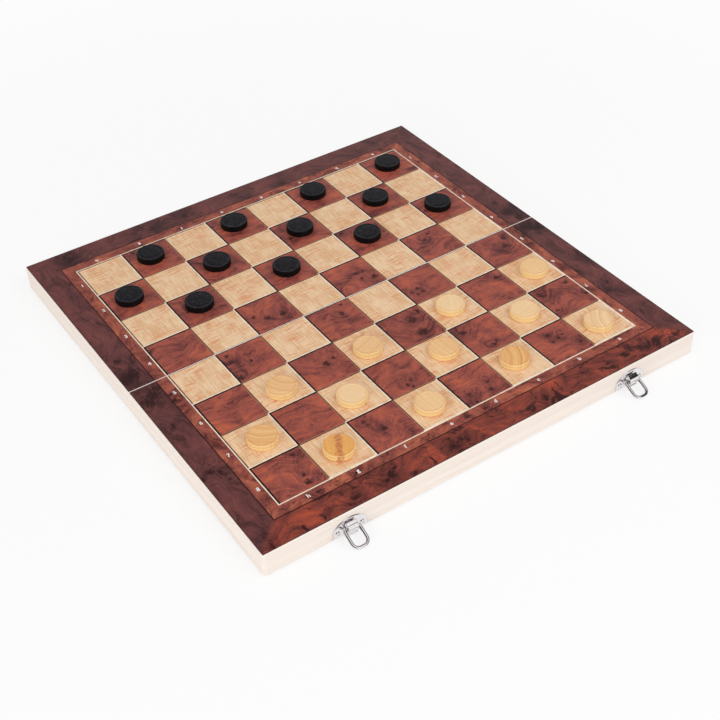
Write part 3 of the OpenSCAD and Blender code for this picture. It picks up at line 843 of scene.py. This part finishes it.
class MarksOperator(bpy.types.Operator):
    """Prints the row and column marks round the squares"""

    bl_idname = "games_box.marks"
    bl_label = "Row and column marks"

    def execute(self, context):
        ink = context.scene.games_box_print
        material = plain_ink("mark ink", ink.mark)
        for half in HALVES:
            points, faces, count = [], [], 0
            for text, x, y, turn in mark_places(ink):
                if (y > 0) != (half == "back"):
                    continue
                shape, sides = mark_mesh(text, ink)
                points.append(shape * (turn, turn, 1) + (x, y + SEAM_Y, PRINT_TOP))
                faces += [[v + count for v in face] for face in sides]
                count += len(shape)
            put_mesh(half + "_marks", np.concatenate(points), faces, [material],
                     half + "_half")
        return {"FINISHED"}


class CaseOperator(bpy.types.Operator):
    """Finishes the walls, panels and linings of both trays"""

    bl_idname = "games_box.case"
    bl_label = "Trays"

    def execute(self, context):
        case = context.scene.games_box_case
        long_wood = bare_wood("wood along the seam", case, 0)
        cross_wood = bare_wood("wood across the seam", case, 1)
        panel_wood = plywood(case)
        woods = dict.fromkeys(
            ("back_spine_wall", "front_spine_wall", "back_far_wall", "front_latch_wall"), long_wood,
        )
        for half in HALVES:
            for side in SIDES:
                woods[f"{half}_{side}_wall"] = cross_wood
            woods[half + "_panel"] = panel_wood
            woods[half + "_inner_print"] = lining(case, half)
        for node, wood in woods.items():
            coat(frame["nodes"][node].data, wood)
        return {"FINISHED"}


def arc(centre, radius, start, end, count):
    """Points along an arc in a plane, the angles in degrees."""
    angles = np.radians(np.linspace(start, end, count))
    return np.stack([centre[0] + radius * np.cos(angles), centre[1] + radius * np.sin(angles)], 1)


def turned_profile(radius, height, settings):
    """Half a draught's outline from the middle of its foot to the middle of its top: flat faces
    with a shallow cosine ring, quarter-round edges and a side with a cosine groove."""
    edge = settings.rounding
    inner = radius - edge
    ring = radius - settings.ring_inset
    wide = settings.ring_reach
    flat = np.concatenate([[0, ring * 0.5], np.linspace(ring - wide, ring + wide, 9), [inner]])
    near = np.clip((flat - ring) / wide, -1, 1)
    dip = settings.ring_depth * (0.5 + 0.5 * np.cos(np.pi * near))
    foot = np.stack([flat, dip], 1)
    top = np.stack([flat, height - dip], 1)[::-1]
    rise = np.linspace(edge, height - edge, 11)
    pull = np.clip((rise - height / 2) / settings.groove_reach, -1, 1)
    side = np.stack([radius - settings.groove * (0.5 + 0.5 * np.cos(np.pi * pull)), rise], 1)
    low = arc((inner, edge), edge, -90, 0, 6)
    high = arc((inner, height - edge), edge, 0, 90, 6)
    return np.concatenate([foot[:-1], low[:-1], side, high[1:], top[1:]])


def revolve(profile, centre, segments):
    """A closed surface of revolution: each point of the profile swept round a circle, and one
    point at each pole."""
    angle = np.linspace(0, 2 * np.pi, segments, endpoint=False)
    rings = profile[1:-1]
    x = centre[0] + rings[:, 0, None] * np.cos(angle)
    y = centre[1] + rings[:, 0, None] * np.sin(angle)
    z = centre[2] + np.repeat(rings[:, 1, None], segments, 1)
    body = np.stack([x, y, z], -1).reshape(-1, 3)
    poles = [(centre[0], centre[1], centre[2] + profile[k, 1]) for k in (0, -1)]
    foot, top = len(body), len(body) + 1
    last = (len(rings) - 1) * segments
    steps_round = [(a, (a + 1) % segments) for a in range(segments)]
    caps = [[foot, b, a] for a, b in steps_round]
    caps += [[top, last + a, last + b] for a, b in steps_round]
    around = grid_faces(segments, len(rings), closed=True).tolist()
    return np.concatenate([body, poles]), around + caps


class DraughtsOperator(bpy.types.Operator):
    """Turns the twenty-four draughts"""

    bl_idname = "games_box.draughts"
    bl_label = "Draughts"

    def execute(self, context):
        settings = context.scene.games_box_draughts
        chance = np.random.default_rng(7)
        for tone, material in (("black", stained_wood(settings)), ("light", natural_wood(settings))):
            for i, (colour, figure, turn, away) in enumerate(LIGHT_DRAUGHTS, 1):
                node = f"{tone}_draught_{i}"
                low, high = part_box(node)
                middle = (low + high) / 2
                profile = turned_profile((high.x - low.x) / 2, high.z - low.z, settings)
                points, faces = revolve(profile, (middle.x, middle.y, low.z), settings.segments)
                piece = put_mesh(f"{tone}_turned_draught_{i}", points, faces, [material], node,
                                 [node], sharp=50)
                if tone == "black":
                    # A heart so far off that the grain is nearly straight
                    turn, away = chance.uniform(0, 360), chance.uniform(100, 900)
                turn = math.radians(turn)
                values = {
                    "middle": (middle.x / MM, (middle.y - SEAM_Y) / MM, low.z / MM),
                    "heart": (away * math.cos(turn), away * math.sin(turn), 0),
                    "tone": (colour,),
                    "figure": (figure,),
                    "streak": (i == STREAKED_DRAUGHT,),
                }
                for name, value in values.items():
                    kind = "FLOAT_VECTOR" if len(value) == 3 else "FLOAT"
                    set_values(piece.data, name, kind, "POINT", np.tile(value, (len(points), 1)))
        return {"FINISHED"}


def tube(path, radii, side, segments=24):
    """A closed tube along a path that lies in a plane with normal side: a circle of each radius
    about each point of the path, in the plane of side and the path's own left."""
    path, side = np.asarray(path), np.asarray(side)
    ahead = np.gradient(path, axis=0)
    ahead /= np.linalg.norm(ahead, axis=1)[:, None]
    left = np.cross(side, ahead)
    angle = np.linspace(0, 2 * np.pi, segments, endpoint=False)
    ring = np.cos(angle)[:, None, None] * left + np.sin(angle)[:, None, None] * side
    points = (path + ring * np.asarray(radii)[:, None]).transpose(1, 0, 2)
    last = (len(path) - 1) * segments
    ends = [list(range(segments))[::-1], list(range(last, last + segments))]
    around = grid_faces(segments, len(path), closed=True).tolist()
    return points.reshape(-1, 3), around + ends


def bail(side, settings, material):
    """A bail of bent wire: from one inturned end along an arm, round two bends to the other."""
    joint = next(j for j in frame["joints"] if j["name"] == side + "_bail_swing")
    pivot = np.array(joint["pos_m"])
    low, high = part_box(side + "_bail")
    wire = settings.wire_radius
    half = (high.x - low.x) / 2 - wire
    away = np.array([0, low.y + wire - pivot[1], low.z + wire - pivot[2]])
    length = np.linalg.norm(away)
    away /= length
    lever_low, lever_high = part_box(side + "_lever")
    inner = (lever_high.x - lever_low.x) / 2 - settings.trunnion_reach
    bend, corner = settings.bend, settings.corner
    # The thin ends thicken over the shoulder, and the lead starts the straight crossbar
    shoulder, lead = 0.1 * MM, 0.3 * MM
    run = np.concatenate([
        [(inner, 0)],
        [(half - corner - shoulder, 0)],
        arc((half - corner, corner), corner, -90, 0, 7),
        np.stack([np.full(6, half), np.linspace(corner, length - bend, 8)[1:-1]], 1),
        arc((half - bend, length - bend), bend, 0, 90, 14),
        [(half - bend - lead, length)],
    ])
    run = np.concatenate([run, run[::-1] * (-1, 1)])
    from_end = np.minimum(np.arange(len(run)), np.arange(len(run))[::-1])
    radii = np.where(from_end < 2, settings.trunnion_radius, wire)
    path = pivot + run[:, :1] * np.array([1, 0, 0]) + run[:, 1:] * away
    points, faces = tube(path, radii, np.cross([1, 0, 0], away))
    put_mesh(side + "_wire_bail", points, faces, [material], side + "_bail",
             [side + "_bail"], sharp=40)


def dressed_copy(node, name, material, width):
    """A CAD node's own shape as one smooth mesh, its sharp edges rounded to that width."""
    source = frame["nodes"][node]
    work = merged(source.data, gap=1e-6)
    bmesh.ops.dissolve_limit(work, angle_limit=math.radians(0.6), verts=work.verts, edges=work.edges)
    mesh = bpy.data.meshes.new(name)
    work.to_mesh(mesh)
    work.free()
    coat(mesh, material)
    shade_round(mesh, sharp=32)
    piece = place_piece(name, mesh, source["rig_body"], [node])
    if width > 0:
        bevel = piece.modifiers.new("rounded edges", "BEVEL")
        bevel.width = width
        bevel.segments = 2
        bevel.limit_method = "ANGLE"
        bevel.angle_limit = math.radians(40)
        bevel.harden_normals = True


class FittingsOperator(bpy.types.Operator):
    """Makes the latches, catches, hinges and their screws"""

    bl_idname = "games_box.fittings"
    bl_label = "Latches and hinges"

    def execute(self, context):
        settings = context.scene.games_box_metal
        bright = plated("bright plate", settings.bright, roughness=0.07)
        brass = plated("brass", settings.brass, roughness=0.3)
        for side in SIDES:
            for part in ("latch_plate", "catch_plate", "lever"):
                dressed_copy(f"{side}_{part}", f"{side}_bright_{part}", bright,
                             settings.edge)
            bail(side, settings, bright)
            for half in HALVES:
                dressed_copy(f"{side}_hinge_leaf_{half}", f"{side}_brass_leaf_{half}", brass,
                             0)
        for node in ("latch_screws", "catch_screws", "latch_pins"):
            dressed_copy(node, "bright_" + node, bright, 0)
        for node in ("hinge_pins", "hinge_screws_back", "hinge_screws_front"):
            dressed_copy(node, "brass_" + node, brass, 0)
        return {"FINISHED"}


def area_lamp(name, place, power):
    """A square lamp that shines on the box from its place and that no surface mirrors."""
    lamp = bpy.data.lights.new(name, "AREA")
    lamp.energy = power
    lamp.size = LAMP_WIDTH
    holder = show(name, lamp)
    holder.location = place
    holder.rotation_euler = (-Vector(place)).to_track_quat("-Z", "Y").to_euler()
    holder.visible_glossy = False


def floor_material(settings):
    """Matt white, lifted towards plain white in what the camera and reflections see, and all
    the way to it where the floor is far from the box."""
    material = bpy.data.materials.new("floor")
    material.use_nodes = True
    nodes = Nodes(material.node_tree)
    nodes.tree.nodes.remove(nodes.tree.nodes["Principled BSDF"])
    away = nodes.length(nodes.add("TexCoord", {}, "Object"))
    lift = nodes.smooth(away, settings.shadow_reach, settings.white_reach, settings.floor_lift)
    seen = nodes.rays("Is Camera Ray", "Is Glossy Ray", "Is Transmission Ray")
    matt = nodes.add("BsdfDiffuse", {"Color": (*settings.floor, 1)})
    white = nodes.add("Emission", {})
    lifted = nodes.add("MixShader", {0: nodes.math("MULTIPLY", seen, lift), 1: matt, 2: white})
    nodes.tree.links.new(lifted, nodes.tree.nodes["Material Output"].inputs["Surface"])
    return material


def stage_floor(settings):
    """A wide white floor that keeps the box's shadow."""
    reach = settings.floor_reach
    corners = [(-reach, -reach, 0), (reach, -reach, 0), (reach, reach, 0), (-reach, reach, 0)]
    floor = bpy.data.meshes.new("floor")
    floor.from_pydata(corners, [], [(0, 1, 2, 3)])
    floor.materials.append(floor_material(settings))
    show("floor", floor)


def stage_sky(settings):
    """An even sky that the camera sees as white. Reflections see it white at the horizon, in a
    panel above the front and in one before it, paler towards the far right, and dim elsewhere."""
    world = bpy.data.worlds.new("sky")
    bpy.context.scene.world = world
    world.use_nodes = True
    nodes = Nodes(world.node_tree)
    sky = nodes.tree.nodes["Background"]
    sky.inputs["Color"].default_value = (1, 1, 1, 1)
    direction = nodes.add("TexCoord", {}, "Generated")
    mirrored = settings.ceiling
    for axis, near, full in PANELS:
        facing = nodes.vector("DOT_PRODUCT", direction, axis).node.outputs["Value"]
        panel = nodes.smooth(facing, near, full, settings.ceiling)
        mirrored = nodes.math("MAXIMUM", mirrored, panel)
    strength = settings.sky
    for seen, brightness in ((nodes.rays("Is Glossy Ray"), mirrored),
                             (nodes.rays("Is Camera Ray", "Is Transmission Ray"), 1.0)):
        strength = nodes.add("Mix", {"Factor": seen, "A": strength, "B": brightness})
    nodes.tree.links.new(strength, sky.inputs["Strength"])


def stage_camera(settings):
    """The camera, set by where it aims on the playing face, how far off it is, its azimuth and
    elevation, and its roll about its own view."""
    azimuth, elevation = settings.azimuth, settings.elevation
    ahead = Vector((math.sin(azimuth) * math.cos(elevation), math.cos(azimuth) * math.cos(elevation),
                    -math.sin(elevation)))
    aim = Vector((settings.aim_x, settings.aim_y + SEAM_Y, PRINT_TOP))
    lens = bpy.data.cameras.new("camera")
    lens.lens = settings.lens
    lens.sensor_width = 36
    lens.clip_start, lens.clip_end = 0.01, 50
    camera = show("camera", lens)
    level = ahead.to_track_quat("-Z", "Y")
    turn = level.to_matrix() @ Matrix.Rotation(settings.roll, 3, "Z")
    camera.matrix_world = Matrix.Translation(aim - ahead * settings.distance) @ turn.to_4x4()
    bpy.context.scene.camera = camera


class StageOperator(bpy.types.Operator):
    """Sets the floor, the light and the camera"""

    bl_idname = "games_box.stage"
    bl_label = "Stage"

    def execute(self, context):
        settings = context.scene.games_box_stage
        context.scene.view_settings.view_transform = "Standard"
        stage_floor(settings)
        stage_sky(settings)
        stage_camera(settings)
        area_lamp("key", KEY_PLACE, settings.key)
        area_lamp("fill", FILL_PLACE, settings.fill)
        return {"FINISHED"}


OPERATORS = (BoardPrintOperator, MarksOperator, CaseOperator, DraughtsOperator, FittingsOperator,
             StageOperator)
SETTINGS = {
    "games_box_print": PrintSettings,
    "games_box_case": CaseSettings,
    "games_box_draughts": DraughtSettings,
    "games_box_metal": MetalSettings,
    "games_box_stage": StageSettings,
}


class GamesBoxPanel(bpy.types.Panel):
    """Lists the steps that make the games box"""

    bl_idname = "VIEW3D_PT_games_box"
    bl_label = "Games box"
    bl_space_type = "VIEW_3D"
    bl_region_type = "UI"
    bl_category = "Games box"

    def draw(self, context):
        for operator in OPERATORS:
            self.layout.operator(operator.bl_idname)


def register():
    """Adds the settings, the operators and the panel to Blender."""
    for name, group in SETTINGS.items():
        bpy.utils.register_class(group)
        setattr(bpy.types.Scene, name, bpy.props.PointerProperty(type=group))
    for kind in (*OPERATORS, GamesBoxPanel):
        bpy.utils.register_class(kind)


def unregister():
    """Takes them away again."""
    for kind in (GamesBoxPanel, *reversed(OPERATORS)):
        bpy.utils.unregister_class(kind)
    for name, group in SETTINGS.items():
        delattr(bpy.types.Scene, name)
        bpy.utils.unregister_class(group)


def main():
    """Makes every piece and the stage."""
    register()
    for operator in OPERATORS:
        family, name = operator.bl_idname.split(".")
        getattr(getattr(bpy.ops, family), name)()


if __name__ == "__main__":
    main()
